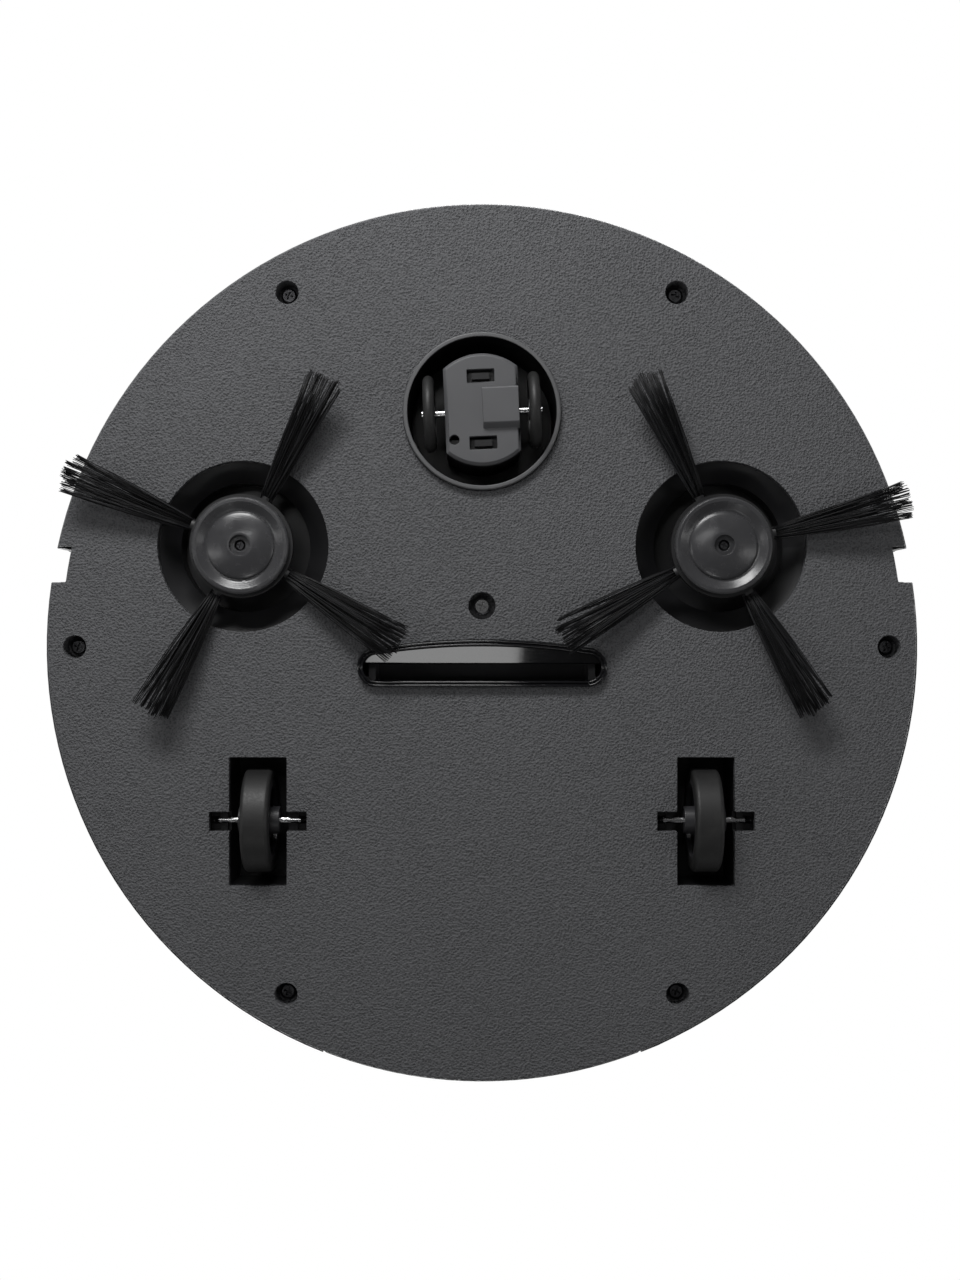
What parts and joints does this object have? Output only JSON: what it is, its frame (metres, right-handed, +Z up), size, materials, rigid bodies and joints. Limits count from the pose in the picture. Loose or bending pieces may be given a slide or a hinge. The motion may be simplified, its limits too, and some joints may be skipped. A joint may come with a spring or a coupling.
{
  "type": "robot vacuum",
  "caption": "Round robot vacuum with a steered drive unit, side brushes, suction mouth, free rear wheels, sprung bumper and rear dust box.",
  "frame": {"origin": "on the floor under the middle of the round body", "axes": "+Z up from the floor; -Y is the direction of travel; +X is the robot's own left"},
  "size_m": [0.252, 0.255, 0.066],
  "materials": {
    "textured_plate": "fine leather grain",
    "shell_plastic": "fine grain",
    "dark_plastic": "satin",
    "recess_black": "satin",
    "gloss_black": "polished",
    "top_gloss": "polished",
    "light_ring": "frosted",
    "satin_grey": "turned satin",
    "satin_cover": "satin",
    "brush_black": "satin",
    "bristle": "nylon bristle",
    "bright_steel": "polished",
    "black_steel": "black oxide",
    "spring_steel": "bright",
    "motor_can": "plated",
    "brass": "machined",
    "gear_plastic": "smooth",
    "circuit_board": "solder mask",
    "battery_wrap": "shrink wrap",
    "filter_paper": "pleated paper",
    "soft_strip": "matt",
    "tyre_rubber": "smooth"
  },
  "bodies": {
    "chassis": {"base_plate": "textured_plate", "drive_well": "dark_plastic", "suction_mouth": "gloss_black", "suction_duct": "dark_plastic", "brush_cups": "recess_black", "wheel_boxes": "recess_black", "rear_wall": "shell_plastic", "front_wall": "dark_plastic", "mid_deck": "dark_plastic", "top_cover": "shell_plastic", "top_panel": "top_gloss", "power_ring": "light_ring", "button_spring": "spring_steel", "button_board": "circuit_board", "battery_pack": "battery_wrap", "main_board": "circuit_board", "fan_housing": "dark_plastic", "fan_motor": "motor_can", "brush_motors": "motor_can", "bumper_springs": "spring_steel", "bumper_switches": "dark_plastic", "charge_socket": "dark_plastic", "exhaust_grille": "dark_plastic", "case_screws": "black_steel", "centre_screw": "bright_steel"},
    "bumper": {"bumper": "shell_plastic", "bumper_strip": "soft_strip"},
    "power_button": {"power_button": "gloss_black"},
    "dust_box": {"dust_box": "shell_plastic", "filter": "filter_paper", "filter_frame": "dark_plastic"},
    "drive_unit": {"drive_housing": "recess_black", "drive_cover": "satin_cover", "drive_motor": "motor_can", "swivel_clip": "spring_steel"},
    "drive_wheels": {"drive_axle": "bright_steel", "drive_hubs": "dark_plastic", "drive_tyres": "tyre_rubber", "axle_gear": "gear_plastic"},
    "idler": {"idler_gear": "gear_plastic"},
    "drive_pinion": {"motor_pinion": "brass"},
    "brush_left": {"brush_knob_left": "satin_grey", "brush_base_left": "brush_black", "brush_tufts_left": "bristle", "brush_screw_left": "black_steel", "brush_gear_left": "gear_plastic"},
    "brush_right": {"brush_knob_right": "satin_grey", "brush_base_right": "brush_black", "brush_tufts_right": "bristle", "brush_screw_right": "black_steel", "brush_gear_right": "gear_plastic"},
    "brush_pinion_left": {"brush_pinion_left": "brass"},
    "brush_pinion_right": {"brush_pinion_right": "brass"},
    "rear_wheel_left": {"rear_axle_left": "bright_steel", "rear_hub_left": "dark_plastic", "rear_tyre_left": "tyre_rubber"},
    "rear_wheel_right": {"rear_axle_right": "bright_steel", "rear_hub_right": "dark_plastic", "rear_tyre_right": "tyre_rubber"},
    "fan_rotor": {"impeller": "gear_plastic"}
  },
  "joints": [
    {"name": "bumper_press", "type": "slide", "parent": "chassis", "child": "bumper", "axis": [0, 1, 0], "range_m": [0, 0.0025], "stiffness_N_per_m": 300, "springref_m": -0.003, "deforming": ["bumper_springs"]},
    {"name": "button_press", "type": "slide", "parent": "chassis", "child": "power_button", "axis": [0, 0, -1], "range_m": [0, 0.001], "stiffness_N_per_m": 800, "springref_m": -0.0015, "deforming": ["button_spring"]},
    {"name": "dust_box_slide", "type": "slide", "parent": "chassis", "child": "dust_box", "axis": [0, 1, 0], "range_m": [0, 0.095]},
    {"name": "drive_steer", "type": "hinge", "parent": "chassis", "child": "drive_unit", "pos_m": [0, -0.0677, 0], "axis": [0, 0, 1], "continuous": true},
    {"name": "drive_wheel_spin", "type": "hinge", "parent": "drive_unit", "child": "drive_wheels", "pos_m": [0, -0.0677, 0.011], "axis": [0.999, -0.0436, 0], "continuous": true},
    {"name": "idler_spin", "type": "hinge", "parent": "drive_unit", "child": "idler", "pos_m": [0, -0.0677, 0.02], "axis": [0.999, -0.0436, 0], "continuous": true},
    {"name": "drive_pinion_spin", "type": "hinge", "parent": "drive_unit", "child": "drive_pinion", "pos_m": [0, -0.0677, 0.029], "axis": [0.999, -0.0436, 0], "continuous": true},
    {"name": "brush_left_spin", "type": "hinge", "parent": "chassis", "child": "brush_left", "pos_m": [0.0688, -0.0289, 0], "axis": [0, 0, 1], "continuous": true},
    {"name": "brush_right_spin", "type": "hinge", "parent": "chassis", "child": "brush_right", "pos_m": [-0.0688, -0.0289, 0], "axis": [0, 0, 1], "continuous": true},
    {"name": "brush_pinion_left_spin", "type": "hinge", "parent": "chassis", "child": "brush_pinion_left", "pos_m": [0.05633, -0.0217, 0], "axis": [0, 0, 1], "continuous": true},
    {"name": "brush_pinion_right_spin", "type": "hinge", "parent": "chassis", "child": "brush_pinion_right", "pos_m": [-0.05633, -0.0217, 0], "axis": [0, 0, 1], "continuous": true},
    {"name": "rear_wheel_left_spin", "type": "hinge", "parent": "chassis", "child": "rear_wheel_left", "pos_m": [0.0645, 0.0503, 0.015], "axis": [1, 0, 0], "continuous": true},
    {"name": "rear_wheel_right_spin", "type": "hinge", "parent": "chassis", "child": "rear_wheel_right", "pos_m": [-0.0645, 0.0503, 0.015], "axis": [1, 0, 0], "continuous": true},
    {"name": "fan_spin", "type": "hinge", "parent": "chassis", "child": "fan_rotor", "pos_m": [0, 0.045, 0.05], "axis": [0, 0, 1], "continuous": true}
  ],
  "couplings": [
    {"joint": "idler_spin", "follows": "drive_wheel_spin", "ratio": -2},
    {"joint": "drive_pinion_spin", "follows": "drive_wheel_spin", "ratio": 4},
    {"joint": "brush_pinion_left_spin", "follows": "brush_left_spin", "ratio": -3},
    {"joint": "brush_pinion_right_spin", "follows": "brush_right_spin", "ratio": -3}
  ]
}
